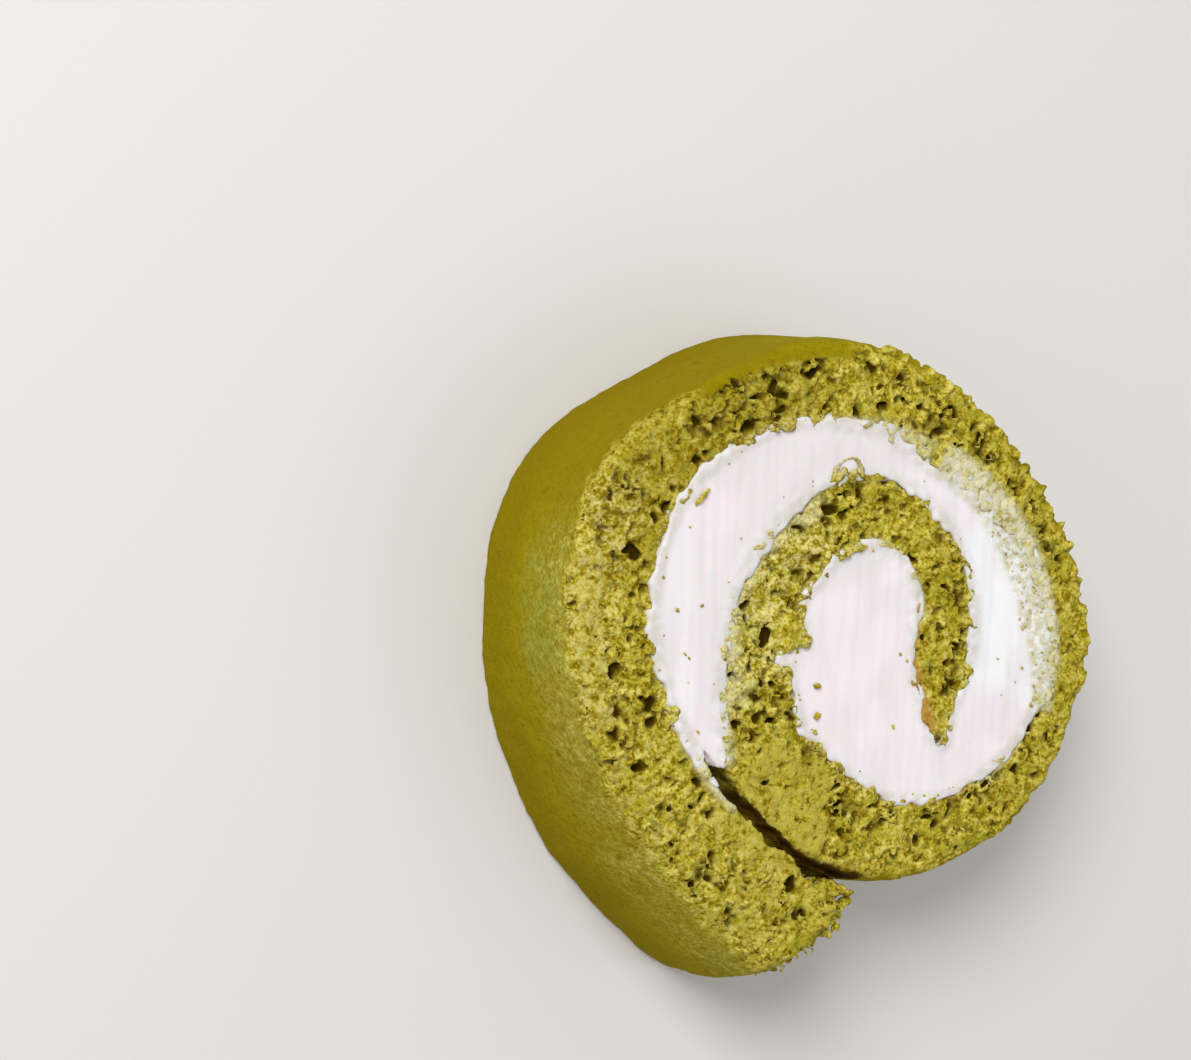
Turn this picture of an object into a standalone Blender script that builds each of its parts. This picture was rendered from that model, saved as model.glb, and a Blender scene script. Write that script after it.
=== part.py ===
"""A thick slice of swiss roll cake: a green sponge sheet rolled up round whipped cream.

The slice lies on its back cut face. +Z points out of the shown cut face, and the
origin is at the middle of the bounding box, on the surface the slice rests on.
The roll is described in polar form round the roll's core: the sheet starts at its
inner end and turns anticlockwise, seen from above, for nearly two turns, and ends
in a loose tail that leaves a slit against the turn below it.
"""

import math

import bmesh
import bpy

MM = 0.001

THICKNESS = 26.0          # between the two cut faces
CREAM_GAP = 0.3           # clearance between cream and sponge
ANGLE_STEP = 6.0          # degrees between outline points
SHEET_START = -43.0       # roll angle of the sheet's inner end
SHEET_END = 628.0         # roll angle of the loose tail's inner corner
TAIL_CORNER = 616.5       # roll angle of its outer corner: the end is cut slanting
CREAM_END = 580.0         # roll angle where the cream runs out into the slit
EDGE_ROUND = 0.9          # how far the skin rounds over at the front cut
FOOT_ROUND = 0.7          # the same at the back cut, where it rests
SAG_LENGTH = 8.0          # depth over which the skin swells behind the front cut
SKIN_REACH = 37.0         # radius at which the swelling has its full size
STILL_CORE = 0.45         # share of that radius inside which nothing swells

# A tear in the sheet's inner side, with cream pressed into it: roll angle, then the
# depth and half width (mm, degrees) of the tear and of the cream in it.
TEAR_ANGLE = 197.5
TEAR = (2.9, 5.5)
CREAM_IN_TEAR = (2.6, 3.2)

# Roll angle (degrees), radius of the sheet's inner and of its outer side (mm).
STATIONS = (
    (-43, 17.4, 21.8), (-30, 12.0, 19.8), (0, 10.1, 19.9), (30, 11.6, 20.2),
    (60, 12.4, 20.8), (90, 11.0, 20.6), (120, 8.4, 18.9), (150, 8.1, 18.2),
    (180, 6.5, 18.6), (210, 10.0, 21.2), (225, 11.0, 23.9), (240, 12.6, 25.8),
    (270, 17.3, 30.4), (300, 25.2, 35.1), (330, 30.2, 38.8), (360, 31.6, 38.0),
    (390, 27.2, 35.0), (420, 24.2, 34.5), (450, 26.6, 36.8), (480, 28.9, 37.6),
    (510, 30.0, 41.4), (540, 28.0, 39.6), (570, 25.8, 36.2), (585, 25.5, 36.2),
    (600, 26.5, 37.8), (615, 28.7, 42.2), (628, 31.0, 45.5),
)

# Direction (degrees) and how much wider the slice is at its back than at its front (mm).
SWELL = (
    (0, 0.5), (45, 0.3), (90, 0.6), (135, -1.3), (180, 0.0),
    (225, 5.8), (255, 5.8), (290, 2.2), (330, 0.6),
)

# Heights of the rings that carry the swelling (mm).
LEVELS = (0.0, 0.8, 6.0, 13.0, 19.0, 23.0, 25.2, THICKNESS)

SPONGE_GREEN = (0.30, 0.27, 0.035, 1.0)
CREAM_WHITE = (0.83, 0.79, 0.80, 1.0)


def hermite(table, x, column):
    """Smooth curve through a column of a table of (x, ...) rows."""
    n = len(table)
    i = max(0, min(n - 2, next((k for k in range(n - 1) if x <= table[k + 1][0]), n - 2)))

    def slope(k):
        a, b = max(0, k - 1), min(n - 1, k + 1)
        return (table[b][column] - table[a][column]) / (table[b][0] - table[a][0])

    x0, x1 = table[i][0], table[i + 1][0]
    h = x1 - x0
    t = (x - x0) / h
    return (
        table[i][column] * (2 * t**3 - 3 * t**2 + 1)
        + slope(i) * h * (t**3 - 2 * t**2 + t)
        + table[i + 1][column] * (3 * t**2 - 2 * t**3)
        + slope(i + 1) * h * (t**3 - t**2)
    )


def inner_radius(roll, tear=TEAR):
    depth, width = tear
    return hermite(STATIONS, roll, 1) + depth * math.exp(-(((roll - TEAR_ANGLE) / width) ** 2))


def outer_radius(roll):
    return hermite(STATIONS, roll, 2)


def at(radius, degrees):
    a = math.radians(degrees)
    return (radius * math.cos(a), radius * math.sin(a))


def roll_angles(first, last):
    """Roll angles from first to last, with closer ones where the tear is."""
    count = max(1, round(abs(last - first) / ANGLE_STEP))
    angles = {first + (last - first) * k / count for k in range(count + 1)}
    lo, hi = min(first, last), max(first, last)
    near = [a for a in (TEAR_ANGLE + 1.8 * k for k in range(-5, 6)) if lo < a < hi]
    if near:
        angles = {a for a in angles if not min(near) - 1.5 < a < max(near) + 1.5} | set(near)
    return sorted(angles, reverse=last < first)


def sponge_outline():
    """The rolled sheet's closed outline, inner side outwards and outer side back."""
    inside = [at(inner_radius(a), a) for a in roll_angles(SHEET_START, SHEET_END)]
    outside = [at(outer_radius(a), a) for a in roll_angles(TAIL_CORNER, SHEET_START)]
    tail = [
        at(33.2, SHEET_END + 3.6), at(35.4, SHEET_END + 4.4), at(38.0, SHEET_END + 1.0),
        at(41.0, TAIL_CORNER + 6.0), at(42.1, TAIL_CORNER + 3.1),
    ]
    tip = [at(20.6, SHEET_START - 1.6), at(18.8, SHEET_START - 1.4)]
    return inside + tail + outside + tip


def cream_outline():
    """The filling's closed outline: the sheet's sides, set back by the gap."""
    along = [
        at(inner_radius(a, CREAM_IN_TEAR) - CREAM_GAP, a)
        for a in roll_angles(CREAM_END, SHEET_START + 1)
    ]
    tip = [at(18.4, SHEET_START - 3.4), at(20.9, SHEET_START - 3.4)]
    back = [at(outer_radius(a) + CREAM_GAP, a) for a in roll_angles(SHEET_START, CREAM_END - 360.0)]
    return along + tip + back


def swell_at(direction):
    table = [(d - 360, s) for d, s in SWELL[-2:]] + list(SWELL) + [(d + 360, s) for d, s in SWELL[:2]]
    return hermite(table, direction % 360.0, 1)


def profile(depth):
    """Share of the swelling reached at a depth behind the front cut."""
    return (1 - math.exp(-depth / SAG_LENGTH)) / (1 - math.exp(-THICKNESS / SAG_LENGTH))


def swelled(x, y, z):
    """Moves a point of the straight extrusion outwards, more so near the skin and the back."""
    r, direction = math.hypot(x, y), math.degrees(math.atan2(y, x))
    if r < 1e-6:
        return x, y
    share = max(0.0, min(1.0, (r / SKIN_REACH - STILL_CORE) / (1 - STILL_CORE)))
    share = share * share * (3 - 2 * share)
    depth = THICKNESS - z
    edge = EDGE_ROUND * (1 - math.exp(-depth / 0.9)) if depth > 0 else 0.0
    foot = FOOT_ROUND * max(0.0, 1 - z / 0.8)
    grown = r + share * (swell_at(direction) * profile(depth) + edge - foot)
    return x * grown / r, y * grown / r


def extruded(name, outline, colour, roughness, collection):
    """A flat outline as a filled 2D curve, extruded, ringed at the levels, then swelled."""
    curve = bpy.data.curves.new(name + "_outline", "CURVE")
    curve.dimensions = "2D"
    curve.fill_mode = "BOTH"
    curve.extrude = THICKNESS / 2 * MM
    spline = curve.splines.new("POLY")
    spline.points.add(len(outline) - 1)
    for point, (x, y) in zip(spline.points, outline):
        point.co = (x * MM, y * MM, 0.0, 1.0)
    spline.use_cyclic_u = True
    drawn = bpy.data.objects.new(name + "_drawn", curve)
    collection.objects.link(drawn)
    drawn.location.z = THICKNESS / 2 * MM
    bpy.context.view_layer.update()
    mesh = bpy.data.meshes.new_from_object(drawn.evaluated_get(bpy.context.evaluated_depsgraph_get()))
    mesh.transform(drawn.matrix_world)
    bpy.data.objects.remove(drawn)

    bm = bmesh.new()
    bm.from_mesh(mesh)
    bmesh.ops.remove_doubles(bm, verts=bm.verts, dist=0.00001)
    for level in LEVELS[1:-1]:
        geometry = bm.verts[:] + bm.edges[:] + bm.faces[:]
        bmesh.ops.bisect_plane(bm, geom=geometry, plane_co=(0, 0, level * MM), plane_no=(0, 0, 1), dist=1e-7)
    for v in bm.verts:
        x, y = swelled(v.co.x / MM, v.co.y / MM, v.co.z / MM)
        v.co.x, v.co.y = x * MM, y * MM
    bmesh.ops.triangulate(bm, faces=bm.faces[:])
    bmesh.ops.recalc_face_normals(bm, faces=bm.faces[:])
    bm.to_mesh(mesh)
    bm.free()

    mesh.name = name
    part = bpy.data.objects.new(name, mesh)
    collection.objects.link(part)
    material = bpy.data.materials.new(name)
    material.use_nodes = True
    shader = material.node_tree.nodes["Principled BSDF"]
    shader.inputs["Base Color"].default_value = colour
    shader.inputs["Roughness"].default_value = roughness
    shader.inputs["Metallic"].default_value = 0.0
    mesh.materials.clear()
    mesh.materials.append(material)
    mesh.shade_smooth()
    mesh.set_sharp_from_angle(angle=math.radians(40))
    return part


def main():
    for old in list(bpy.data.objects):
        bpy.data.objects.remove(old)
    collection = bpy.data.collections.new("swiss_roll_slice")
    bpy.context.scene.collection.children.link(collection)

    sponge = extruded("sponge", sponge_outline(), SPONGE_GREEN, 0.9, collection)
    cream = extruded("cream", cream_outline(), CREAM_WHITE, 0.45, collection)

    xs = [v.co.x for v in sponge.data.vertices]
    ys = [v.co.y for v in sponge.data.vertices]
    for part in (sponge, cream):
        part.location = (-(min(xs) + max(xs)) / 2, -(min(ys) + max(ys)) / 2, 0.0)


main()
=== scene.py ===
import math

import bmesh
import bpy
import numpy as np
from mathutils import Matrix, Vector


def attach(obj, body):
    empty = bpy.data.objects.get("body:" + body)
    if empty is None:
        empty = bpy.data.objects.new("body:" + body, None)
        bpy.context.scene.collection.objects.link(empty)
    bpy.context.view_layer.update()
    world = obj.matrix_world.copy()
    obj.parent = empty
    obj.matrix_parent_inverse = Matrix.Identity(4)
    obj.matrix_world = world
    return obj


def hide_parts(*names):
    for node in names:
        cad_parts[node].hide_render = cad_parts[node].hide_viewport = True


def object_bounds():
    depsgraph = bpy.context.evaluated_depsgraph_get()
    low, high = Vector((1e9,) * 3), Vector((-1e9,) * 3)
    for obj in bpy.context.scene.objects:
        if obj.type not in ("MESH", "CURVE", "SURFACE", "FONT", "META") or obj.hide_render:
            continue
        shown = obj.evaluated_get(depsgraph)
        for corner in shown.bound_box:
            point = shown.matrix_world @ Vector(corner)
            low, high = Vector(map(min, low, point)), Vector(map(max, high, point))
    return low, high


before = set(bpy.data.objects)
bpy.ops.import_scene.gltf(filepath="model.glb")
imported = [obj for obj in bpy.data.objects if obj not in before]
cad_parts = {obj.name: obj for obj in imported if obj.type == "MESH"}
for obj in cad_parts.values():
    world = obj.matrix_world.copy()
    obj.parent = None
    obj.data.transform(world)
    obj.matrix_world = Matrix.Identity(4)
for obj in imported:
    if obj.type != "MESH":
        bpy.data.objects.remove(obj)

# The looks of a thick slice of green swiss roll. The sponge and the cream are each grown
# as a solid field on a fine grid, from the outline of their CAD solids: the open crumb of
# the cut faces, the torn edges and the knife marks are shape. Lengths are in mm until a
# mesh is made. Two coordinates matter: the plan of the front cut face, in polar form
# round the roll's core, and the height above the face that the slice lies on.

MM = 0.001
cad_bounds = [list(map(float, corner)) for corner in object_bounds()]

PITCH = 0.25      # grid spacing
SPONGE_FACES = 194_000
CREAM_FACES = 60_000

low, high = (np.array(c) / MM for c in cad_bounds)
THICK = float(high[2] - low[2])
CORE = np.array((0.561, 4.800))           # the roll's core in plan

# How the slice swells from the front cut to the back one, as its CAD solids do.
SWELL = ((0, 0.5), (45, 0.3), (90, 0.6), (135, -1.3), (180, 0.0), (225, 5.8), (255, 5.8), (290, 2.2), (330, 0.6))
SAG_LENGTH, EDGE_ROUND, FOOT_ROUND, SKIN_REACH, STILL_CORE = 8.0, 0.9, 0.7, 37.0, 0.45


# ---------------------------------------------------------------- fields on a grid

def smooth(lo, hi, x):
    t = np.clip((x - lo) / (hi - lo), 0.0, 1.0)
    return t * t * (3 - 2 * t)


def noise(shape, spacing, seed):
    """Smooth noise of unit spread: a seeded lattice of that spacing (in cells on each axis), splined up to shape."""
    spacing = np.broadcast_to(np.asarray(spacing, float), (len(shape),))
    rng = np.random.default_rng(seed)
    grid = rng.standard_normal([int(n / s) + 5 for n, s in zip(shape, spacing)]).astype(np.float32)
    for axis, (n, s) in enumerate(zip(shape, spacing)):
        x = np.arange(n) / s + 1.0
        i = np.floor(x).astype(int)
        t = (x - i).astype(np.float32)
        weights = np.zeros((n, grid.shape[axis]), np.float32)
        rows = np.arange(n)
        for k, w in enumerate(((1 - t) ** 3, 3 * t**3 - 6 * t**2 + 4, -3 * t**3 + 3 * t**2 + 3 * t + 1, t**3)):
            weights[rows, i - 1 + k] = w / 6
        grid = np.moveaxis(np.tensordot(weights, grid, axes=(1, axis)), 0, axis)
    grid = np.ascontiguousarray(grid)
    return grid / grid.std()


def hermite(table, x):
    """Smooth closed curve through (degrees, value) rows, for an array of degrees."""
    rows = [(d - 360, v) for d, v in table[-2:]] + list(table) + [(d + 360, v) for d, v in table[:2]]
    d, v = np.array(rows, float).T
    x = np.mod(x, 360.0)
    i = np.clip(np.searchsorted(d, x, side="right") - 1, 1, len(d) - 3)
    slope = lambda k: (v[k + 1] - v[k - 1]) / (d[k + 1] - d[k - 1])
    h = d[i + 1] - d[i]
    t = (x - d[i]) / h
    return (v[i] * (2 * t**3 - 3 * t**2 + 1) + slope(i) * h * (t**3 - 2 * t**2 + t)
            + v[i + 1] * (3 * t**2 - 2 * t**3) + slope(i + 1) * h * (t**3 - t**2))


def front_outline(node):
    """The edges round a CAD solid's front cut face, in plan."""
    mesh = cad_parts[node].data
    mesh.calc_loop_triangles()
    points = np.empty(len(mesh.vertices) * 3)
    mesh.vertices.foreach_get("co", points)
    points = np.round(points.reshape(-1, 3) / MM, 4)
    triangles = np.empty(len(mesh.loop_triangles) * 3, int)
    mesh.loop_triangles.foreach_get("vertices", triangles)
    triangles = triangles.reshape(-1, 3)
    unique, index = np.unique(points, axis=0, return_inverse=True)
    triangles = index.reshape(-1)[triangles]
    top = triangles[(unique[triangles][:, :, 2] > high[2] - 0.01).all(axis=1)]
    edges = np.sort(np.concatenate([top[:, (0, 1)], top[:, (1, 2)], top[:, (2, 0)]]), axis=1)
    edges, count = np.unique(edges, axis=0, return_counts=True)
    return unique[edges[count == 1]][:, :, :2]


PLAN_STEP = 0.2
plan_low = low[:2] - 4.0
plan_count = np.ceil((high[:2] - low[:2] + 8.0) / PLAN_STEP).astype(int)


def plan_field(edges):
    """Signed distance to an outline in plan, negative inside."""
    px = (plan_low[0] + PLAN_STEP * np.arange(plan_count[0]))[:, None]
    py = (plan_low[1] + PLAN_STEP * np.arange(plan_count[1]))[None, :]
    nearest = np.full(plan_count, 1e9)
    inside = np.zeros(plan_count, bool)
    for (ax, ay), (bx, by) in edges:
        dx, dy = bx - ax, by - ay
        t = np.clip(((px - ax) * dx + (py - ay) * dy) / (dx * dx + dy * dy), 0, 1)
        nearest = np.minimum(nearest, (px - ax - t * dx) ** 2 + (py - ay - t * dy) ** 2)
        if ay != by:
            cross = ((ay > py) != (by > py)) & (px < dx * (py - ay) / dy + ax)
            inside ^= cross
    return (np.sqrt(nearest) * np.where(inside, -1, 1)).astype(np.float32)


def plan_sample(field, x, y):
    gx = np.clip((x - plan_low[0]) / PLAN_STEP, 0, plan_count[0] - 1.001)
    gy = np.clip((y - plan_low[1]) / PLAN_STEP, 0, plan_count[1] - 1.001)
    i, j = gx.astype(int), gy.astype(int)
    u, v = gx - i, gy - j
    return (field[i, j] * (1 - u) * (1 - v) + field[i + 1, j] * u * (1 - v)
            + field[i, j + 1] * (1 - u) * v + field[i + 1, j + 1] * u * v)


grid_low = low - np.array((1.2, 1.2, 1.0))
count = np.ceil((high - low + np.array((2.4, 2.4, 2.0))) / PITCH).astype(int) + 1
X = (grid_low[0] + PITCH * np.arange(count[0]))[:, None].astype(np.float32)
Y = (grid_low[1] + PITCH * np.arange(count[1]))[None, :].astype(np.float32)
Z = (grid_low[2] + PITCH * np.arange(count[2])).astype(np.float32)

radius = np.hypot(X - CORE[0], Y - CORE[1])
degrees = np.degrees(np.arctan2(Y - CORE[1], X - CORE[0])) % 360.0
along = (X - CORE[0]) / np.maximum(radius, 1e-3), (Y - CORE[1]) / np.maximum(radius, 1e-3)
swell = hermite(SWELL, degrees)


def unswelled(z):
    """Radius before the slice swells, for each point in plan at a height."""
    depth = min(max(THICK - z, 0.0), THICK)
    sag = (1 - math.exp(-depth / SAG_LENGTH)) / (1 - math.exp(-THICK / SAG_LENGTH))
    edge = EDGE_ROUND * (1 - math.exp(-depth / 0.9))
    foot = FOOT_ROUND * max(0.0, 1 - max(z, 0.0) / 0.8)
    grow = swell * sag + edge - foot
    r = radius.copy()
    for _ in range(5):
        r = radius - smooth(STILL_CORE, 1.0, r / SKIN_REACH) * grow
    return r


sheet_plan, cream_plan = plan_field(front_outline("sponge")), plan_field(front_outline("cream"))
side = np.empty(count, np.float32)        # distance to the sponge's sides, negative inside
filling = np.empty(count, np.float32)     # the same for the cream
for k, z in enumerate(Z):
    r = unswelled(float(z))
    px, py = CORE[0] + r * along[0], CORE[1] + r * along[1]
    side[:, :, k] = plan_sample(sheet_plan, px, py)
    filling[:, :, k] = plan_sample(cream_plan, px, py)


def sample(field, points):
    """Trilinear reading of a grid at points, in mm."""
    g = (points - grid_low) / PITCH
    g = np.clip(g, 0, np.array(field.shape) - 1.001)
    i = g.astype(int)
    f = (g - i).astype(np.float32)
    total = 0
    for dx in (0, 1):
        for dy in (0, 1):
            for dz in (0, 1):
                w = (np.where(dx, f[:, 0], 1 - f[:, 0]) * np.where(dy, f[:, 1], 1 - f[:, 1])
                     * np.where(dz, f[:, 2], 1 - f[:, 2]))
                total = total + w * field[i[:, 0] + dx, i[:, 1] + dy, i[:, 2] + dz]
    return total


def skinned(field):
    """Surface of a field (negative inside) as points in mm and quads: one point in each cell it crosses."""
    inside = field < 0
    total = np.zeros([n - 1 for n in field.shape], np.uint8)
    corners = [(a, b, c) for a in (0, 1) for b in (0, 1) for c in (0, 1)]
    for a, b, c in corners:
        total += inside[a:field.shape[0] - 1 + a, b:field.shape[1] - 1 + b, c:field.shape[2] - 1 + c]
    crossed = (total > 0) & (total < 8)
    cells = np.argwhere(crossed)
    number = np.full(total.shape, -1, np.int32)
    number[crossed] = np.arange(len(cells), dtype=np.int32)
    value = {c: field[cells[:, 0] + c[0], cells[:, 1] + c[1], cells[:, 2] + c[2]] for c in corners}
    sum_, hits = np.zeros((len(cells), 3), np.float32), np.zeros(len(cells), np.float32)
    for p in corners:
        for axis in range(3):
            if p[axis]:
                continue
            q = tuple(1 if k == axis else p[k] for k in range(3))
            a, b = value[p], value[q]
            cut = (a < 0) != (b < 0)
            t = np.where(cut, a / np.where(cut, a - b, 1), 0)
            at = np.array(p, np.float32)[None, :] + t[:, None] * np.eye(3, dtype=np.float32)[axis]
            sum_ += at * cut[:, None]
            hits += cut
    points = grid_low + (cells + sum_ / hits[:, None]) * PITCH
    quads = []
    for axis in range(3):
        u, v = (axis + 1) % 3, (axis + 2) % 3
        lo = [slice(1, -1)] * 3
        lo[axis] = slice(0, -1)
        hi = list(lo)
        hi[axis] = slice(1, None)
        first, second = inside[tuple(lo)], inside[tuple(hi)]
        for flip, where in ((False, first & ~second), (True, ~first & second)):
            at = np.argwhere(where)
            at[:, u] += 1
            at[:, v] += 1
            ring = []
            for du, dv in ((0, 0), (-1, 0), (-1, -1), (0, -1)):
                c = at.copy()
                c[:, u] += du
                c[:, v] += dv
                ring.append(number[c[:, 0], c[:, 1], c[:, 2]])
            ring = np.stack(ring, axis=1)
            quads.append(ring if not flip else ring[:, ::-1])
    return points, np.concatenate(quads)


def biggest(points, quads):
    """The largest connected part of a surface, without loose flakes and closed bubbles."""
    label = np.arange(len(points))
    while True:
        at_quads = label[quads]
        before = label.copy()
        np.minimum.at(label, at_quads.ravel(), np.repeat(at_quads.min(axis=1), 4))
        for _ in range(3):
            label = label[label]
        if (label == before).all():
            break
    kept = label == np.bincount(label).argmax()
    number = np.cumsum(kept) - 1
    return points[kept], number[quads[kept[quads[:, 0]]]]


def mesh_object(name, points, faces):
    mesh = bpy.data.meshes.new(name)
    n = faces.shape[1]
    mesh.vertices.add(len(points))
    mesh.vertices.foreach_set("co", (points * MM).astype(np.float32).ravel())
    mesh.loops.add(faces.size)
    mesh.loops.foreach_set("vertex_index", faces.astype(np.int32).ravel())
    mesh.polygons.add(len(faces))
    mesh.polygons.foreach_set("loop_start", np.arange(0, faces.size, n, dtype=np.int32))
    mesh.polygons.foreach_set("loop_total", np.full(len(faces), n, np.int32))
    mesh.update(calc_edges=True)
    mesh.validate()
    piece = bpy.data.objects.new(name, mesh)
    bpy.context.scene.collection.objects.link(piece)
    return piece


def thinned(piece, most, coarse=None):
    """Fewer triangles where the surface is flat, and where coarse is high."""
    triangles = 2 * len(piece.data.polygons)
    modifier = piece.modifiers.new("thin", "DECIMATE")
    modifier.ratio = min(1.0, most / triangles)
    if coarse is not None:
        group = piece.vertex_groups.new(name="coarse")
        for weight in np.unique(coarse):
            group.add(np.flatnonzero(coarse == weight).tolist(), float(weight), "REPLACE")
        modifier.vertex_group = "coarse"
    mesh = bpy.data.meshes.new_from_object(piece.evaluated_get(bpy.context.evaluated_depsgraph_get()))
    piece.modifiers.clear()
    piece.vertex_groups.clear()
    old, piece.data = piece.data, mesh
    bpy.data.meshes.remove(old)
    mesh.name = piece.name
    at = vertices(piece)
    at[:, 2] = np.clip(at[:, 2], 0.02, THICK + 0.35)
    mesh.vertices.foreach_set("co", (at * MM).astype(np.float32).ravel())
    mesh.update()
    mesh.shade_smooth()
    print(piece.name, triangles, "->", len(mesh.polygons))
    return piece


def vertices(piece):
    points = np.empty(len(piece.data.vertices) * 3, np.float32)
    piece.data.vertices.foreach_get("co", points)
    return points.reshape(-1, 3) / MM


def put(piece, name, values):
    attribute = piece.data.attributes.new(name, "FLOAT", "POINT")
    attribute.data.foreach_set("value", np.clip(values, 0, 1).astype(np.float32))


def place(angle, distance):
    """A spot in plan, from polar numbers round the core."""
    a = math.radians(angle)
    return CORE[0] + distance * math.cos(a), CORE[1] + distance * math.sin(a)


# ---------------------------------------------------------------- zones of the front face

def zone(angle, distance, from_angle, to_angle, inner, outer, fade=1.0):
    """1 inside a stretch of ring round the core, fading over its edges; inner and outer are radii at both ends."""
    span = (to_angle - from_angle) % 360.0
    t = ((angle - from_angle) % 360.0) / span
    lo = inner[0] + (inner[1] - inner[0]) * np.clip(t, 0, 1)
    hi = outer[0] + (outer[1] - outer[0]) * np.clip(t, 0, 1)
    ends = smooth(0.0, 0.12, t) * smooth(1.0, 0.88, t) * (t <= 1.0)
    return ends * smooth(lo - fade, lo + fade, distance) * smooth(hi + fade, hi - fade, distance)


# Cream dragged over the crumb by the knife: from and to angle, radii at both ends, strength.
BAND = ((-20, 6, (32.0, 26.6), (34.8, 33.0), 1.0), (-2, 32, (27.4, 24.8), (33.4, 30.4), 1.0), (26, 62, (25.0, 23.8), (30.6, 28.2), 0.9))
SMEARS = (
    *BAND,
    (-44, -12, (27.5, 30.5), (30.6, 33.4), 0.45),
    (100, 216, (15.6, 16.6), (19.4, 20.4), 0.38),
    (190, 226, (17.4, 22.4), (21.0, 24.6), 0.50),
    (62, 104, (24.4, 25.2), (27.8, 27.6), 0.55),
    (4, 82, (9.0, 10.2), (12.0, 12.8), 0.60),
    (206, 236, (25.2, 25.9), (27.0, 27.2), 0.95),
)
# Where the crumb's grains are paler: the same numbers.
PALE = ((100, 214, (10.5, 11.0), (19.6, 20.4), 0.75), (146, 200, (34.0, 34.0), (44.0, 44.0), 0.45), (196, 262, (26.0, 31.0), (44.0, 44.0), 0.12))
# Where the knife has pressed the crumb shut: the same numbers.
PRESSED = (
    (160, 200, (36.4, 34.6), (42.0, 39.0), 0.85),
    (200, 240, (35.0, 38.0), (38.5, 44.0), 0.6),
    (226, 268, (16.0, 17.5), (31.0, 31.5), 0.7),
    (242, 275, (31.0, 31.0), (44.0, 44.0), 0.35),
)
# The slit between the loose end and the roll: x and y from the core, half width, depth.
SLIT = ((-20.7, -14.2, 0.14, 1.2), (-19.6, -15.7, 0.42, 3.0), (-18.6, -17.1, 0.56, 4.0),
        (-17.1, -18.9, 0.46, 4.0), (-15.1, -20.8, 0.34, 3.0), (-12.2, -23.2, 0.28, 2.5), (-9.1, -25.9, 0.26, 2.2),
        (-6.0, -28.5, 0.32, 2.6), (-2.9, -30.1, 0.36, 3.0), (0.2, -31.3, 0.45, 4.0), (3.4, -32.5, 0.60, 6.0))
# Where the sheet's baked side shows as a thin brown line: the same numbers.
FRINGES = (
    (-50, -12, (14.5, 9.0), (20.5, 12.2), 1.0),
    (-18, 24, (8.6, 8.6), (11.8, 11.6), 0.7),
    (290, 345, (23.0, 29.0), (27.0, 31.5), 0.5),
)
# The skin that folds over the front edge.
WRAP = (88, 130, (34.9, 37.4), (42.0, 42.0), 1.0)
# How far the crumb reaches down the side before the skin starts, at each angle.
SKIN_START = ((0, 1.5), (88, 1.0), (122, 1.4), (138, 3.4), (156, 3.2), (172, 2.3), (190, 2.0), (215, 2.2), (240, 2.2), (265, 1.8), (300, 1.5))
# Radius that parts the outermost turn's outer half from what is inside it.
OUTER_HALF = ((0, 34.8), (30, 31.1), (60, 29.4), (90, 31.7), (120, 33.2), (150, 35.7), (180, 33.8), (210, 31.5), (225, 31.5),
              (240, 33.0), (255, 35.4), (270, 24.5), (300, 30.0), (330, 34.5))


def zones(table, angle, distance, fade=1.0):
    total = np.zeros(np.broadcast(angle, distance).shape, np.float32)
    for row in table:
        total = np.maximum(total, row[4] * zone(angle, distance, *row[:4], fade=fade))
    return total


# ---------------------------------------------------------------- sponge

cells = lambda mm: mm / PITCH
front = THICK - Z[None, None, :]                       # depth below the front cut
ripple = 0.14 * noise(count[:2], cells(7.0), 3)[:, :, None]
near_front = np.exp(-np.maximum(front, 0) / 1.3)
near_back = np.exp(-np.maximum(Z, 0) / 1.0)[None, None, :]
outer = smooth(-1.5, 1.5, radius - hermite(OUTER_HALF, degrees))[:, :, None]
wavy = (0.13 * noise(count, cells(9.0), 4) + 0.055 * noise(count, cells(2.6), 5)) * outer
bays = 0.26 * noise(count, cells(2.3), 7) * (1 - outer) * np.exp(-np.maximum(front, 0) / 4.0)
bays *= smooth(5.5, 9.5, radius)[:, :, None]
torn = smooth(90, 70, degrees) + smooth(340, 352, degrees) + smooth(255, 262, degrees) * smooth(284, 276, degrees)
ragged = 0.13 * noise(count, cells(0.9), 6) * (1 - 0.6 * outer) + 0.15 * noise(count, cells(1.8), 8) * (1 + 0.6 * torn[:, :, None] * outer)
ragged *= np.maximum(near_front, 0.5 * near_back * outer)
ragged *= 1 - 0.8 * (smooth(278, 288, degrees) * smooth(350, 338, degrees))[:, :, None] * outer


def slit():
    """Distance to the slit's walls in plan, negative inside it, and its depth."""
    nearest, depth = np.full(count[:2], 1e3, np.float32), np.zeros(count[:2], np.float32)
    x, y = X - CORE[0], Y - CORE[1]
    for (ax, ay, aw, ad), (bx, by, bw, bd) in zip(SLIT, SLIT[1:]):
        dx, dy = bx - ax, by - ay
        t = np.clip(((x - ax) * dx + (y - ay) * dy) / (dx * dx + dy * dy), 0, 1)
        distance = np.hypot(x - ax - t * dx, y - ay - t * dy) - (aw + t * (bw - aw))
        depth = np.where(distance < nearest, ad + t * (bd - ad), depth)
        nearest = np.minimum(nearest, distance)
    return nearest, depth


slit_wall, slit_depth = slit()
slit_wall = slit_wall[:, :, None] + 0.10 * noise(count, cells(1.0), 9) + 0.10 * front.clip(0)
carved = np.maximum(slit_wall, front - slit_depth[:, :, None])


def joined(a, b, k):
    """The greater of two fields, with the corner between them rounded."""
    h = np.maximum(k - np.abs(a - b), 0) / np.maximum(k, 1e-6)
    return np.maximum(a, b) + h * h * k * 0.25


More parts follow.
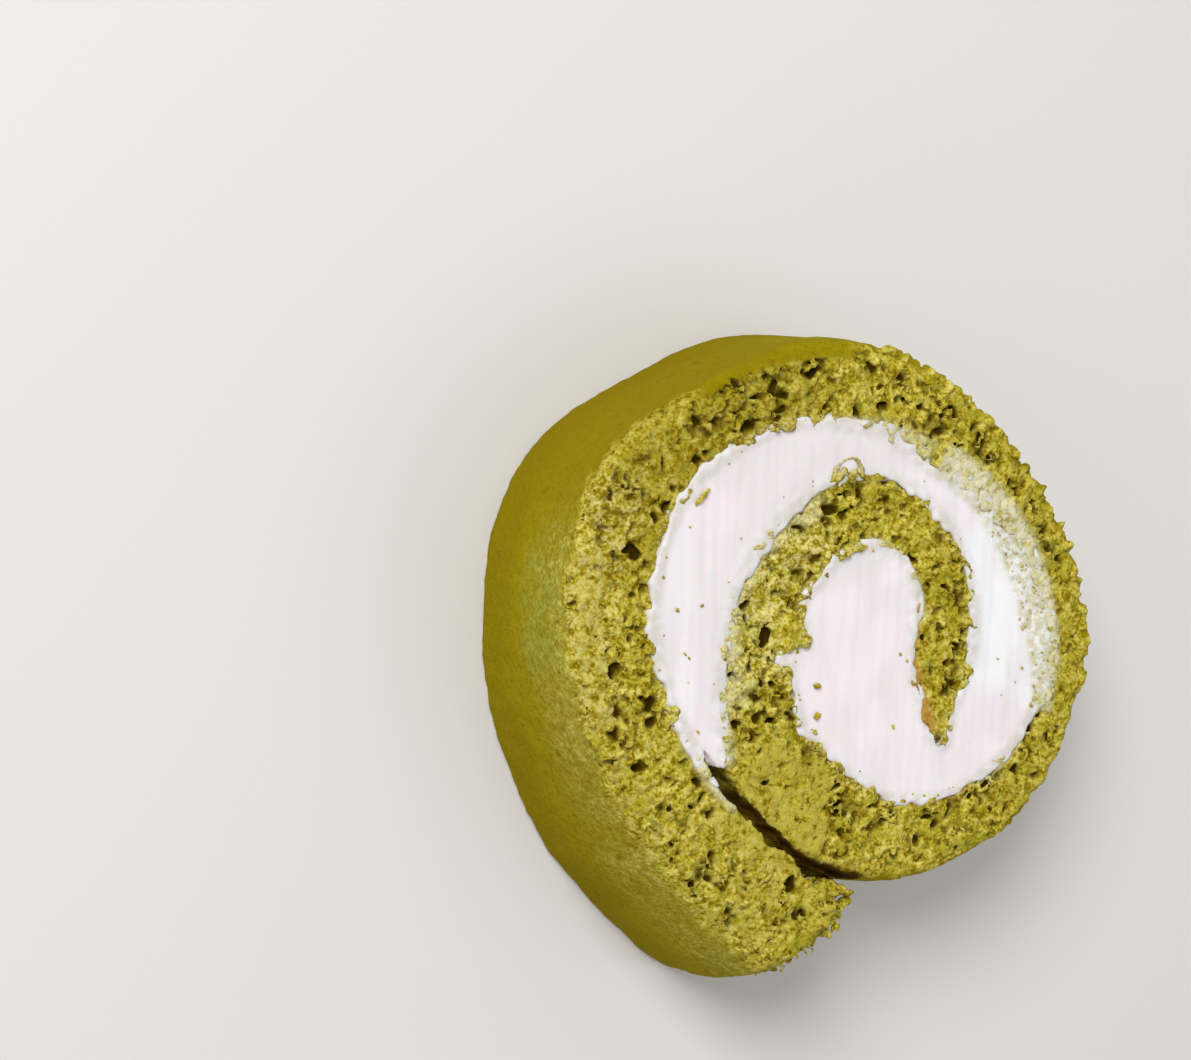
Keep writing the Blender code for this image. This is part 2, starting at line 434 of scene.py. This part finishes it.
walls = side + 0.22 + wavy + bays + ragged
face = -(front - 0.20 + ripple)
body = joined(np.maximum(walls, -Z[None, None, :] + 0.02), face, 2.2 * outer + 0.05)

# Every bubble that the knife opens is cut out of the body, in space bent by noise.
bend = [0.26 * noise(count, cells(0.95), 10 + k) + 0.16 * noise(count, cells(0.5), 20 + k) for k in range(3)]
holes = np.full(count, 2.0, np.float32)
rng = np.random.default_rng(41)
REACH = 0.55


def bubble(x, y, z, sizes, turn=0.0, bent=1.0):
    """Cuts an ellipsoid with these half sizes, turned in plan."""
    most = max(sizes) + REACH
    lo = np.maximum(np.floor((np.array((x, y, z)) - most - grid_low) / PITCH).astype(int), 0)
    hi = np.minimum(np.ceil((np.array((x, y, z)) + most - grid_low) / PITCH).astype(int) + 1, count)
    if (hi <= lo).any():
        return
    box = tuple(slice(a, b) for a, b in zip(lo, hi))
    dx = X[box[0], 0][:, None, None] - x + bent * bend[0][box]
    dy = Y[0, box[1]][None, :, None] - y + bent * bend[1][box]
    dz = Z[box[2]][None, None, :] - z + bent * bend[2][box]
    c, s = math.cos(turn), math.sin(turn)
    u, v = c * dx + s * dy, c * dy - s * dx
    a, b, d = sizes
    distance = (np.sqrt((u / a) ** 2 + (v / b) ** 2 + (dz / d) ** 2) - 1) * min(sizes)
    holes[box] = np.minimum(holes[box], distance)


def polar(x, y):
    return np.degrees(np.arctan2(y - CORE[1], x - CORE[0])) % 360, np.hypot(x - CORE[0], y - CORE[1])


def scattered(number, heights, gaps, wanted=lambda x, y, z, gap: True):
    """Random spots between two heights whose distance to the sheet's sides lies in a range."""
    found = np.empty((0, 4))
    while len(found) < number:
        spots = rng.uniform((low[0], low[1], heights[0]), (high[0], high[1], heights[1]), (40_000, 3))
        gap = sample(side, spots)
        good = (gap > gaps[0]) & (gap < gaps[1]) & wanted(spots[:, 0], spots[:, 1], spots[:, 2], gap)
        found = np.concatenate([found, np.column_stack([spots, gap])[good]])
    return found[:number]


def on_outside(x, y, z, gap):
    angle, distance = polar(x, y)
    return distance > hermite(OUTER_HALF, angle)


def drawn(sizes, number):
    return np.exp(rng.uniform(math.log(sizes[0]), math.log(sizes[1]), number))


def bubbles(number, front_face, sizes):
    """Random bubbles cut open by the front face or the back one."""
    spots = scattered(number, (THICK - 1.0, THICK - 0.2) if front_face else (0.0, 0.6), (-30, -0.12))
    size = drawn(sizes, number)
    angle, distance = polar(spots[:, 0], spots[:, 1])
    keep = spots[:, 3] < -0.20 - 0.55 * size
    if front_face:
        shut = np.maximum(zones(PRESSED, angle, distance), 0.75 * zones(SMEARS, angle, distance))
        shut = np.maximum(shut, zones((WRAP,), angle, distance, fade=0.3))
        keep &= rng.uniform(0, 1, number) > shut
        size = size * (1 - 0.4 * shut)
    for (x, y, z, gap), s in zip(spots[keep], size[keep]):
        drop = rng.uniform(-0.55, 0.40) * s if s < 0.6 else rng.uniform(-0.3, 0.6) * s
        shape = s * rng.uniform((0.8, 0.7, 0.8), (1.4, 1.1, 1.4))
        bubble(x, y, THICK - drop - 0.2 if front_face else drop, shape, rng.uniform(0, math.pi))


bubbles(6000, True, (0.22, 0.42))
bubbles(3400, True, (0.38, 0.60))
bubbles(150, True, (0.60, 0.90))
bubbles(1300, False, (0.30, 0.70))

# Open crumb over the rounded front edge and in the loose end.
open_edge = lambda x, y, z, gap: on_outside(x, y, z, gap) & (polar(x, y)[0] > 134) & (polar(x, y)[0] < 272)
for x, y, z, gap in scattered(1500, (THICK - 4.0, THICK - 0.3), (-0.9, -0.05), open_edge):
    if THICK - z < rng.uniform(0.2, 1.1) * hermite(SKIN_START, polar(x, y)[0]):
        bubble(x, y, z, rng.uniform((0.20, 0.20, 0.20), (0.50, 0.44, 0.44)), rng.uniform(0, math.pi))
at_end = lambda x, y, z, gap: (np.abs(polar(x, y)[0] - 265.0) < 9) & (polar(x, y)[1] > 32) & (x - CORE[0] > -7.6)
for x, y, z, gap in scattered(190, (0.6, THICK - 0.4), (-0.9, 0.0), at_end):
    bubble(x, y, z, rng.uniform((0.25, 0.25, 0.25), (0.70, 0.55, 0.7)), rng.uniform(0, math.pi))

# Holes that stand out: angle, distance, half sizes, turn in plan (degrees).
HOLES = (
    (161.1, 33.4, (1.20, 1.10, 1.8), 20), (186.5, 34.3, (0.42, 1.5, 1.7), 8), (182.0, 33.6, (0.4, 1.0, 1.3), 30),
    (208.3, 33.5, (0.50, 1.10, 1.6), 25), (257.7, 32.7, (1.20, 0.95, 1.7), 70), (262.0, 36.4, (0.8, 0.6, 1.3), 20),
    (45.0, 13.9, (0.42, 1.15, 1.8), 35), (131.0, 36.0, (0.6, 0.5, 1.0), 0), (134.0, 34.6, (0.7, 0.45, 1.1), 60),
    (128.0, 33.6, (0.6, 0.5, 1.0), 10), (195.1, 36.6, (0.75, 0.20, 0.6), -12), (170.0, 32.0, (0.5, 0.8, 1.2), 0),
    (149.0, 31.5, (0.6, 0.45, 1.2), 45), (320.7, 31.0, (1.0, 0.5, 1.2), -35), (318.0, 29.6, (0.6, 0.45, 1.0), 0),
    (331.0, 34.2, (0.5, 0.9, 1.1), 10), (300.0, 28.5, (0.8, 0.5, 1.1), 0), (294.0, 30.0, (0.6, 0.6, 1.1), 20),
    (120.0, 16.0, (0.6, 0.5, 1.1), 0), (225.0, 15.5, (0.6, 0.5, 1.2), 0), (20.0, 16.0, (0.35, 0.8, 1.2), 0),
)
for angle, distance, sizes, turn in HOLES:
    bubble(*place(angle, distance), THICK - 0.5, sizes, math.radians(turn))
holes += 0.40 * zones(SMEARS, degrees, radius)[:, :, None] ** 2 * near_front
for x, y in (place(177.0, 8.0), place(321.0, 17.6)):                     # the nub by the core and the tongue's tip stay whole
    holes += 2.0 * smooth(3.0, 1.8, np.hypot(X - x, Y - y))[:, :, None]

# Crumbs left standing: along every cut edge, more of them at the loose end, and a few that stand out.
pits, holes = holes, np.full(count, 2.0, np.float32)
sizes = lambda: rng.uniform((0.18, 0.18, 0.16), (0.42, 0.38, 0.34))
ragged_edge = lambda x, y, z, gap: ~on_outside(x, y, z, gap) | (np.abs(polar(x, y)[0] - 218.0) < 55)
for x, y, z, gap in scattered(520, (THICK - 1.3, THICK - 0.3), (-0.45, -0.05), ragged_edge):
    bubble(x, y, z, sizes(), rng.uniform(0, math.pi), 0.6)
on_right = lambda x, y, z, gap: on_outside(x, y, z, gap) & ((polar(x, y)[0] < 84) | (polar(x, y)[0] > 346))
for x, y, z, gap in scattered(210, (THICK - 3.0, THICK - 0.7), (-0.75, -0.25), on_right):
    bubble(x, y, z, rng.uniform((0.55, 0.5, 0.45), (0.95, 0.8, 0.85)), rng.uniform(0, math.pi), 0.4)
for x, y, z, gap in scattered(330, (0.5, THICK - 0.3), (-0.35, 0.10), at_end):
    bubble(x, y, z, 1.5 * sizes(), rng.uniform(0, math.pi))
STANDING = (
    (168.0, 8.8, (1.8, 1.6, 2.2), 0), (176.0, 8.2, (1.7, 1.5, 2.2), 0), (182.0, 7.4, (1.3, 1.2, 1.8), 0),
    (192.0, 7.3, (0.8, 0.8, 1.4), 0), (320.5, 17.0, (1.6, 1.2, 1.6), -45), (325.9, 18.5, (1.5, 1.2, 1.6), 0),
    (318.3, 19.4, (1.3, 0.9, 1.4), -60), (352.0, 21.4, (0.8, 0.35, 0.6), 20), (270.5, 35.4, (1.9, 0.7, 2.0), 8),
    (271.0, 33.6, (1.4, 0.6, 1.5), -20), (268.5, 37.4, (1.2, 0.7, 2.0), 0),
)
for angle, distance, size, turn in STANDING:
    bubble(*place(angle, distance), THICK - 0.4, size, math.radians(turn))
lumps, holes = holes, pits

grain = 0.085 * noise(count, cells(0.40), 30) + 0.125 * noise(count, cells(0.72), 31) + 0.09 * noise(count, cells(1.5), 32)
cut_face = np.maximum(np.exp(-np.maximum(front, 0) / 2.2), 0.5 * near_back)
cut_face = cut_face * (1 - 0.6 * zones(((*WRAP[:4], 1.0),), degrees, radius, fade=0.4)[:, :, None])
cut_face = np.maximum(cut_face, 0.10 * outer)
body, smooth_body = np.maximum(np.minimum(body, lumps), face - 0.15) + grain * cut_face, body.astype(np.float32)
body = np.maximum(np.maximum(body, Z[None, None, :] - THICK - 0.3), -Z[None, None, :])
sponge_field = joined(joined(body, -holes, 0.15), -carved, 0.25).astype(np.float32)

points, quads = biggest(*skinned(sponge_field))
coarse = np.where(on_outside(points[:, 0], points[:, 1], 0, 0) & (points[:, 2] > 0.3), 0.55, 1.0)
coarse = np.where(points[:, 2] > THICK - 3.2, 0.3, coarse)
sponge = thinned(mesh_object("sponge_roll", points, quads), SPONGE_FACES, coarse)
at = vertices(sponge)
# pit is how deep a point lies below the smooth crumb. It darkens the open pits: partly the crumb's own darker inside,
# partly painted shade.
pit = -sample(smooth_body, at)
sideways = -sample(side, at)
angle, distance = polar(at[:, 0], at[:, 1])
below = THICK - at[:, 2]
fringe = 0.7 * sample(noise(count, cells(1.3), 35), at)
start = hermite(SKIN_START, angle)
skin = smooth(0.95, 0.5, sideways) * smooth(-0.7, 0.7, below + fringe - start) * smooth(0.1, 0.9, at[:, 2])
skin = np.maximum(skin, smooth(0.5, 0.15, pit) * zones((WRAP,), angle, distance, fade=0.5) * (below < 3))
near_cream = smooth(1.7, 0.9, sample(filling, at)) * smooth(1.2, 0.3, below)
# Inside the slit the pit darkness is full: painted shadow on the slit's walls.
pit = np.where(sample(carved, at) < 0.25, 2.0, pit * (1 - 0.6 * near_cream))
put(sponge, "pit", pit / 1.2)
put(sponge, "skin", skin)
put(sponge, "smear", zones(SMEARS, angle, distance, fade=0.9) * smooth(1.9, 0.5, below))
put(sponge, "pressed", zones(PRESSED, angle, distance, fade=0.9) * smooth(1.9, 0.5, below))
# Painted shade: low makes the skin browner and darker towards the face the slice lies on.
put(sponge, "low", smooth(0.75, 0.0, at[:, 2] / THICK))
put(sponge, "fringe", smooth(1.5, 0.5, sideways) * smooth(1.8, 0.5, below) * zones(FRINGES, angle, distance))
put(sponge, "patch", smooth(146, 172, angle) * smooth(275, 250, angle) * smooth(15, 1.5, below))
put(sponge, "shade", smooth(92, 112, angle) * smooth(172, 148, angle) * smooth(24, 27, distance))
put(sponge, "green", smooth(158, 170, angle) * smooth(192, 182, angle) * smooth(2.0, 5.0, below) * smooth(16, 11, below))
put(sponge, "near_cream", near_cream)
put(sponge, "pale", zones(PALE, angle, distance, fade=1.5) * smooth(4.0, 1.0, below))
# Painted shadow: the slit's walls below the cut face go dark brown.
put(sponge, "slit_shade", smooth(1.0, 0.35, sample(slit_wall, at)) * smooth(0.2, 0.8, below))

# ---------------------------------------------------------------- cream

streaks = 0.030 * noise(count[:2], (cells(0.55), cells(9.0)), 51) + 0.035 * noise(count[:2], (cells(1.9), cells(20.0)), 52)
dents = 0.07 * noise(count[:2], cells(3.5), 53)
edge_noise = 0.20 * noise(count, cells(0.8), 55)
smeared = zones(SMEARS, degrees, radius, fade=1.0)[:, :, None] * np.exp(-np.maximum(front, 0) / 1.2)
spread = 0.85 + bays + edge_noise + 2.4 * smeared
top = front - 0.34 + 0.15 * smooth(-1.0, 0.4, filling) - (streaks + dents)[:, :, None] + smeared * (0.02 + 0.11 * noise(count[:2], cells(0.7), 56)[:, :, None])
cream_field = np.maximum(np.maximum(filling - spread, -top), -(Z[None, None, :] - 0.15))
cream_field = np.maximum(cream_field, -carved).astype(np.float32)
points, quads = biggest(*skinned(cream_field))
cream = thinned(mesh_object("cream_filling", points, quads), CREAM_FACES, np.where(points[:, 2] > THICK - 2.0, 0.4, 1.0))
at = vertices(cream)
angle, distance = polar(at[:, 0], at[:, 1])
put(cream, "cool", zones(((-22, 40, (17, 17), (40, 40), 0.9), (150, 205, (21, 21), (40, 40), 0.2)), angle, distance, fade=3.0))
# Painted shade: the thin zones grey the cream in the left channel, over the top of the outer arc and above the core.
put(cream, "thin", zones(((96, 220, (15.5, 16.5), (23.0, 22.5), 1.0), (66, 142, (20, 20), (34, 34), 0.9),
                          (55, 125, (6, 6), (14, 14), 0.8), (120, 200, (22, 22), (33, 33), 0.35)), angle, distance, fade=2.5))
put(cream, "band", zones(BAND, angle, distance, fade=0.7) * smooth(1.5, 0.6, THICK - at[:, 2]))
# Along the cream's edges: crumb smeared into it, and painted shade where the cream meets the sponge.
put(cream, "edge", smooth(-1.3, 0.5, sample(filling, at)) * smooth(1.5, 0.6, THICK - at[:, 2]))

# Crumbs on the cream: a few where they show, strings of them, and a seeded scatter close to the sponge.
SPECKS = (
    (169.5, 22.3, 0.24), (172.0, 25.7, 0.30), (150.1, 27.8, 0.16), (143.3, 20.8, 0.15), (349.8, 28.2, 0.20),
    (340.9, 26.0, 0.16), (351.2, 24.0, 0.15), (247.3, 11.2, 0.42), (235.0, 7.9, 0.42), (250.0, 13.2, 0.34), (301.5, 14.3, 0.24),
    (345.7, 27.6, 0.15), (318.0, 17.0, 0.14), (280.0, 15.5, 0.13), (215.0, 22.0, 0.22), (186.0, 23.6, 0.14),
)
STRINGS = (
    ((99.8, 20.2, 0.40), (98.9, 21.2, 0.28), (96.9, 22.0, 0.18), (94.2, 22.5, 0.12), (91.4, 22.7, 0.14), (89.3, 22.3, 0.26),
     (88.6, 21.4, 0.44), (88.2, 20.5, 0.50)),
    ((97.4, 20.3, 0.55), (95.6, 20.9, 0.44), (94.4, 21.3, 0.26)),
    ((92.6, 20.2, 0.60), (91.2, 20.9, 0.44)),
    ((144.6, 28.7, 0.14), (143.0, 28.6, 0.32), (141.0, 28.5, 0.28), (139.2, 28.4, 0.12)),
)
specks = [(*place(a, d), r) for a, d, r in SPECKS]
for string in STRINGS:
    for (a0, d0, r0), (a1, d1, r1) in zip(string, string[1:]):
        for t in np.linspace(0, 1, 9)[:-1]:
            x, y = place(a0 + t * (a1 - a0), d0 + t * (d1 - d0))
            x, y = np.array((x, y)) + rng.uniform(-0.07, 0.07, 2)
            specks.append((x, y, (r0 + t * (r1 - r0)) * rng.uniform(0.8, 1.2)))
scatter = 34
while scatter:
    x, y = rng.uniform(low[0], high[0]), rng.uniform(low[1], high[1])
    gap = sample(side, np.array([(x, y, THICK - 0.5)]))[0]
    inside = sample(filling, np.array([(x, y, THICK - 0.5)]))[0]
    if inside < -0.1 and rng.uniform() < math.exp(-gap / 0.8):
        specks.append((x, y, rng.uniform(0.09, 0.20)))
        scatter -= 1
for k in range(150):                       # in the smeared band on the right
    x, y = place(rng.uniform(-18, 52), rng.uniform(25, 33.5))
    if zones(BAND, np.array([math.degrees(math.atan2(y - CORE[1], x - CORE[0])) % 360]), np.hypot(x - CORE[0], y - CORE[1])) > 0.5:
        specks.append((x, y, rng.uniform(0.10, 0.26)))
points, faces = [], []
for x, y, r in specks:
    ring = bmesh.new()
    bmesh.ops.create_icosphere(ring, subdivisions=2, radius=1.0)
    stretch, spin = rng.uniform((0.8, 0.6, 0.5), (1.5, 1.1, 0.9)) * r, rng.uniform(0, math.pi)
    first = len(points)
    for v in ring.verts:
        p = np.array(v.co) * stretch * rng.uniform(0.75, 1.2)
        points.append((x + p[0] * math.cos(spin) - p[1] * math.sin(spin), y + p[0] * math.sin(spin) + p[1] * math.cos(spin),
                       min(THICK - 0.25 + 0.3 * r + p[2], THICK + 0.30)))
    faces += [[first + v.index for v in f.verts] for f in ring.faces]
    ring.free()
crumbs = mesh_object("crumbs", np.array(points), np.array(faces))
crumbs.data.shade_smooth()
at = np.array(points)
put(crumbs, "pit", np.full(len(points), 0.1))
put(crumbs, "smear", zones((*(row[:4] + (0.6,) for row in BAND), (84, 104, (20.8, 20.8), (24.0, 24.0), 0.45)), *polar(at[:, 0], at[:, 1])))

# ---------------------------------------------------------------- materials

def linear(r, g, b):
    f = lambda c: c / 12.92 if c <= 0.04045 else ((c + 0.055) / 1.055) ** 2.4
    return (f(r / 255), f(g / 255), f(b / 255), 1.0)


class Nodes:
    """Short names for the nodes of one material."""

    def __init__(self, name):
        self.material = bpy.data.materials.new(name)
        self.material.use_nodes = True
        self.tree = self.material.node_tree
        self.shader = self.tree.nodes["Principled BSDF"]
        self.coords = self.new("ShaderNodeTexCoord").outputs["Object"]

    def new(self, kind, **settings):
        node = self.tree.nodes.new(kind)
        for key, value in settings.items():
            setattr(node, key, value)
        return node

    def link(self, source, target):
        if hasattr(source, "node"):
            self.tree.links.new(source, target)
        else:
            target.default_value = source

    def noise(self, size_mm, detail=2.0, roughness=0.5, stretch=None, distortion=0.0):
        node = self.new("ShaderNodeTexNoise")
        node.inputs["Scale"].default_value = 1000.0 / size_mm
        node.inputs["Detail"].default_value = detail
        node.inputs["Roughness"].default_value = roughness
        node.inputs["Distortion"].default_value = distortion
        coords = self.coords
        if stretch:
            mapping = self.new("ShaderNodeMapping")
            mapping.inputs["Scale"].default_value = stretch
            self.link(self.coords, mapping.inputs["Vector"])
            coords = mapping.outputs["Vector"]
        self.link(coords, node.inputs["Vector"])
        return node.outputs["Fac"]

    def attribute(self, name):
        return self.new("ShaderNodeAttribute", attribute_name=name).outputs["Fac"]

    def ramp(self, value, lo, hi, to_lo=0.0, to_hi=1.0):
        node = self.new("ShaderNodeMapRange", interpolation_type="SMOOTHSTEP")
        self.link(value, node.inputs["Value"])
        for key, number in (("From Min", lo), ("From Max", hi), ("To Min", to_lo), ("To Max", to_hi)):
            node.inputs[key].default_value = number
        return node.outputs["Result"]

    def math(self, operation, a, b=0.0):
        node = self.new("ShaderNodeMath", operation=operation)
        self.link(a, node.inputs[0])
        self.link(b, node.inputs[1])
        return node.outputs[0]

    def mix(self, share, a, b):
        node = self.new("ShaderNodeMix", data_type="RGBA")
        self.link(share, node.inputs["Factor"])
        self.link(a, node.inputs["A"])
        self.link(b, node.inputs["B"])
        return node.outputs["Result"]

    def bump(self, height, distance_mm, strength=1.0, normal=None):
        node = self.new("ShaderNodeBump")
        node.inputs["Strength"].default_value = strength
        node.inputs["Distance"].default_value = distance_mm * MM
        self.link(height, node.inputs["Height"])
        if normal is not None:
            self.link(normal, node.inputs["Normal"])
        return node.outputs["Normal"]


CRUMB_BRIGHT = linear(220, 207, 112)
CRUMB_MAIN = linear(188, 172, 52)
CRUMB_GREEN = linear(158, 152, 28)
CRUMB_DARK = linear(124, 104, 10)
CRUMB_DEEP_AND_SHADE = linear(66, 48, 2)
PRESSED_OLIVE = linear(180, 166, 66)
SKIN_OLIVE = linear(150, 136, 14)
SKIN_PALE = linear(172, 161, 64)
SKIN_GREEN = linear(152, 152, 58)
SKIN_BROWN_AND_SHADE = linear(132, 114, 6)
SMEAR_PALE = linear(220, 216, 184)
GRAIN_PALE = linear(232, 223, 158)
BAKED_BROWN = linear(180, 130, 58)
SLIT_PAINTED_SHADE = linear(70, 48, 6)
CREAM_WHITE = linear(243, 233, 236)
CREAM_COOL = linear(245, 245, 246)
CREAM_MOTTLE_AND_SHADE = linear(226, 218, 218)
CREAM_EDGE_SMEAR_AND_SHADE = linear(212, 206, 194)
CREAM_BAND = linear(206, 200, 160)

s = Nodes("sponge_cake")
fine, medium, wide = s.noise(0.42, 2, 0.5), s.noise(1.1, 2, 0.5), s.noise(6.0, 2, 0.5)
height = s.math("ADD", s.math("MULTIPLY", fine, 0.5), s.math("MULTIPLY", medium, 0.5))
crumb = s.mix(s.ramp(height, 0.36, 0.53), CRUMB_DARK, CRUMB_MAIN)
crumb = s.mix(s.ramp(height, 0.49, 0.64), crumb, CRUMB_BRIGHT)
crumb = s.mix(s.ramp(s.noise(2.2, 2, 0.5), 0.52, 0.68, 0, 0.65), crumb, CRUMB_GREEN)
crumb = s.mix(s.ramp(s.noise(1.5, 2, 0.5), 0.30, 0.48, 0.6, 0), crumb, CRUMB_DARK)
crumb = s.mix(s.math("MULTIPLY", s.attribute("pressed"), s.ramp(medium, 0.35, 0.60)), crumb, PRESSED_OLIVE)
crumb = s.mix(s.math("MULTIPLY", s.attribute("shade"), 0.30), crumb, CRUMB_DARK)
crumb = s.mix(s.math("MULTIPLY", s.attribute("near_cream"), s.ramp(fine, 0.45, 0.62, 0, 0.3)), crumb, SMEAR_PALE)
crumb = s.mix(s.math("MULTIPLY", s.attribute("pale"), s.ramp(height, 0.46, 0.60, 0, 0.65)), crumb, GRAIN_PALE)
smear = s.math("MULTIPLY", s.attribute("smear"), s.ramp(s.noise(0.8, 3, 0.6), 0.36, 0.58, 0.2, 1.0))
crumb = s.mix(s.math("MINIMUM", s.math("MULTIPLY", smear, 1.1), 0.9), crumb, SMEAR_PALE)
# Pits go towards near-black brown: partly the crumb's darker inside, partly painted shade.
crumb = s.mix(s.ramp(s.attribute("pit"), 0.20, 0.85), crumb, CRUMB_DEEP_AND_SHADE)
crumb = s.mix(s.math("MULTIPLY", s.attribute("fringe"), 0.8), crumb, BAKED_BROWN)
patch = s.math("MULTIPLY", s.attribute("patch"), s.ramp(wide, 0.30, 0.62, 0.35, 1.0))
skin = s.mix(patch, SKIN_OLIVE, SKIN_PALE)
skin = s.mix(s.math("MULTIPLY", s.attribute("green"), s.ramp(s.noise(4.0, 2, 0.5), 0.36, 0.60, 0.1, 0.8)), skin, SKIN_GREEN)
# SKIN_BROWN_AND_SHADE is the skin's own brown in the grain, and painted shade at the top-left (shade) and towards the
# face it lies on (low).
skin = s.mix(s.math("MULTIPLY", s.attribute("shade"), 0.60), skin, SKIN_BROWN_AND_SHADE)
skin = s.mix(s.ramp(height, 0.38, 0.56, 0.65, 0), skin, SKIN_BROWN_AND_SHADE)
skin = s.mix(s.math("MULTIPLY", s.math("MULTIPLY", patch, 0.9), s.ramp(height, 0.54, 0.64, 0, 0.6)), skin, CRUMB_BRIGHT)
skin = s.mix(s.ramp(s.math("ADD", s.attribute("low"), s.noise(9.0, 2, 0.5)), 0.75, 1.35, 0, 0.6), skin, SKIN_BROWN_AND_SHADE)
skin = s.mix(s.ramp(s.noise(1.9, 1, 0.5), 0.27, 0.31, 0.6, 0), skin, CRUMB_DARK)
colour = s.mix(s.attribute("skin"), crumb, skin)
# Painted shadow in the slit.
s.link(s.mix(s.attribute("slit_shade"), colour, SLIT_PAINTED_SHADE), s.shader.inputs["Base Color"])
s.shader.inputs["Roughness"].default_value = 0.95
s.shader.inputs["Specular IOR Level"].default_value = 0.03
s.shader.inputs["Subsurface Weight"].default_value = 0.08
s.shader.inputs["Subsurface Scale"].default_value = 0.001
s.shader.inputs["Subsurface Radius"].default_value = (1.0, 0.9, 0.2)
s.link(s.bump(height, 0.34, 0.9), s.shader.inputs["Normal"])

c = Nodes("whipped_cream")
cloud = c.noise(5.0, 2, 0.5, stretch=(1.0, 0.4, 1.0))
cream_colour = c.mix(c.attribute("cool"), CREAM_WHITE, CREAM_COOL)
# Soft random mottle, and painted shade where thin is high.
cream_colour = c.mix(c.math("ADD", c.ramp(cloud, 0.46, 0.66, 0, 0.35), c.math("MULTIPLY", c.attribute("thin"), 0.55)), cream_colour, CREAM_MOTTLE_AND_SHADE)
# Crumb smear and painted shade along the cream's edges.
edge = c.math("MULTIPLY", c.attribute("edge"), c.ramp(c.noise(1.6, 2, 0.5), 0.35, 0.60, 0.15, 0.8))
cream_colour = c.mix(edge, cream_colour, CREAM_EDGE_SMEAR_AND_SHADE)
band = c.math("MULTIPLY", c.attribute("band"), c.ramp(c.noise(0.9, 3, 0.6), 0.38, 0.58, 0.1, 0.85))
cream_colour = c.mix(band, cream_colour, CREAM_BAND)
c.link(cream_colour, c.shader.inputs["Base Color"])
c.link(c.ramp(c.noise(3.0, 2, 0.5, stretch=(1.0, 0.2, 1.0)), 0.35, 0.65, 0.42, 0.60), c.shader.inputs["Roughness"])
c.shader.inputs["Specular IOR Level"].default_value = 0.3
c.shader.inputs["Subsurface Weight"].default_value = 0.2
c.shader.inputs["Subsurface Scale"].default_value = 0.003
c.link(c.bump(c.noise(0.8, 3, 0.5, stretch=(1.0, 0.15, 1.0)), 0.05, 0.4), c.shader.inputs["Normal"])

crumbs.data.materials.append(s.material)
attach(crumbs, "root")
for piece, nodes, node, slot in ((sponge, s, "sponge", "sponge"), (cream, c, "cream", "cream")):
    piece.data.materials.clear()
    piece.data.materials.append(nodes.material)
    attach(piece, "root")
    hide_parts(node)

# ---------------------------------------------------------------- floor, light and camera

f = Nodes("pale_floor")
f.shader.inputs["Base Color"].default_value = linear(226, 223, 220)
f.shader.inputs["Roughness"].default_value = 0.9
floor = mesh_object("floor", np.array([(-2000, -2000, 0), (2000, -2000, 0), (2000, 2000, 0), (-2000, 2000, 0)], float),
                    np.array([(0, 1, 2, 3)]))
floor.data.materials.append(f.material)

middle = Vector(((cad_bounds[0][0] + cad_bounds[1][0]) / 2, (cad_bounds[0][1] + cad_bounds[1][1]) / 2, 0.02))


def lamp(name, direction, distance, size, power):
    light = bpy.data.lights.new(name, "AREA")
    light.shape, light.size, light.energy = "DISK", size, power
    holder = bpy.data.objects.new(name, light)
    bpy.context.scene.collection.objects.link(holder)
    direction = Vector(direction).normalized()
    holder.location = middle + direction * distance
    holder.rotation_euler = direction.to_track_quat("Z", "Y").to_euler()


lamp("key", (-0.55, 0.50, 0.70), 0.9, 0.42, 6.2)
lamp("fill", (0.7, -0.3, 0.9), 1.1, 0.9, 1.6)
world = bpy.data.worlds.new("studio")
world.use_nodes = True
world.node_tree.nodes["Background"].inputs["Color"].default_value = (1, 1, 1, 1)
world.node_tree.nodes["Background"].inputs["Strength"].default_value = 0.42
bpy.context.scene.world = world
bpy.context.scene.view_settings.view_transform = "Standard"

# The camera sees the front face leaning 28 degrees to its right and 5 degrees back, rolled so that +Y is up.
FOCAL, WIDTH, HEIGHT = 2500.0, 1191, 1060                # in picture widths' own units
lean, tip = math.radians(28.0), math.radians(-10.0)
out = Vector((math.sin(lean) * math.cos(tip), math.sin(lean) * math.sin(tip), math.cos(lean)))
up = (Vector((0, 1, 0)) - out * out.y).normalized()
right = up.cross(out)
turn = Matrix((right, up, out))                          # camera axes to model axes
seen = Vector(((850 - WIDTH / 2) / FOCAL, -(635 - HEIGHT / 2) / FOCAL, -1.0)) * 320.0
camera = bpy.data.objects.new("camera", bpy.data.cameras.new("camera"))
bpy.context.scene.collection.objects.link(camera)
camera.data.sensor_width = 36.0
camera.data.lens = 36.0 * FOCAL / WIDTH
camera.data.clip_start, camera.data.clip_end = 0.01, 10.0
home = (Vector((CORE[0], CORE[1], THICK)) - turn @ seen) * MM
camera.matrix_world = Matrix.Translation(home) @ turn.to_4x4()
bpy.context.scene.camera = camera
